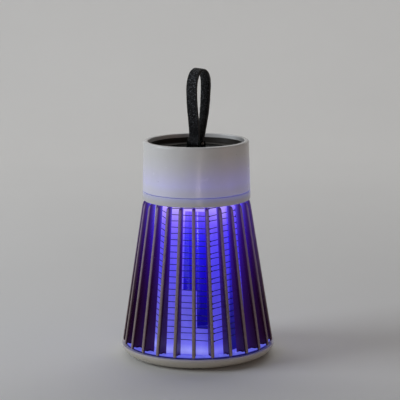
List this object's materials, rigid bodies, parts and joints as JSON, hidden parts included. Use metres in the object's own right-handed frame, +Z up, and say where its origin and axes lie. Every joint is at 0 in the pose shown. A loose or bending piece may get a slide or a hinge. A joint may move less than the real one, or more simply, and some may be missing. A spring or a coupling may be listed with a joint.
{
  "type": "electric bug zapper",
  "caption": "Portable lantern-style bug zapper: white head with a strap over a cone of guard slats round a glowing high-voltage grid, with a push-fit collection tray below",
  "frame": {"origin": "centre of the tray's flat underside, on the surface that the lamp stands on", "axes": "+Z up along the lamp's axis; -Y towards the front as pictured; +X to its right"},
  "size_m": [0.1, 0.1, 0.1875],
  "materials": {
    "white_shell": "semi-gloss, slightly translucent",
    "frosted": "frosted translucent, lit from above",
    "slat": "satin warm grey",
    "charcoal": "fine matte",
    "gloss_black": "high gloss",
    "leather": "pebbled black",
    "steel": "drawn wire",
    "column": "glossy, lit deep blue",
    "cell": null,
    "board": "solder mask",
    "black_part": "moulded",
    "capacitor": "dipped film",
    "lens": "clear epoxy dome",
    "insulation_red": "silicone lead",
    "insulation_black": "silicone lead"
  },
  "bodies": {
    "lamp": {"base_ring": "slat", "collar": "white_shell", "head_shell": "white_shell", "top_panel": "charcoal", "centre_cap": "gloss_black", "strap_pin": "steel", "grid_frame": "frosted", "grid_live": "steel", "grid_return": "steel", "core_column": "column", "battery": "cell", "led_board": "board", "main_board": "board", "hv_transformer": "black_part", "hv_capacitor": "capacitor", "port_board": "board", "usb_socket": "steel", "tact_switch": "black_part", "lead_live": "insulation_red", "lead_return": "insulation_black", "slat_01": "slat", "slat_02": "slat", "slat_03": "slat", "slat_04": "slat", "slat_05": "slat", "slat_06": "slat", "slat_07": "slat", "slat_08": "slat", "slat_09": "slat", "slat_10": "slat", "slat_11": "slat", "slat_12": "slat", "slat_13": "slat", "slat_14": "slat", "slat_15": "slat", "slat_16": "slat", "slat_17": "slat", "slat_18": "slat", "slat_19": "slat", "slat_20": "slat", "slat_21": "slat", "slat_22": "slat", "slat_23": "slat", "slat_24": "slat", "slat_25": "slat", "uv_led_1": "lens", "uv_led_2": "lens", "uv_led_3": "lens", "uv_led_4": "lens", "uv_led_5": "lens", "uv_led_6": "lens", "head_screw_1": "steel", "head_screw_2": "steel", "head_screw_3": "steel"},
    "tray": {"collection_tray": "white_shell"},
    "strap": {"strap": "leather"},
    "button": {"power_button": "charcoal"}
  },
  "joints": [
    {"name": "tray_pull_off", "type": "slide", "parent": "lamp", "child": "tray", "axis": [0, 0, -1], "range_m": [0, 0.03]},
    {"name": "strap_swing", "type": "hinge", "parent": "lamp", "child": "strap", "pos_m": [0, 0, 0.1398], "axis": [0.5878, -0.809, 0], "range_deg": [-64, 72]},
    {"name": "power_button_press", "type": "slide", "parent": "lamp", "child": "button", "axis": [0, -1, 0], "range_m": [0, 0.0009], "stiffness_N_per_m": 1500, "springref_m": -0.0005}
  ]
}
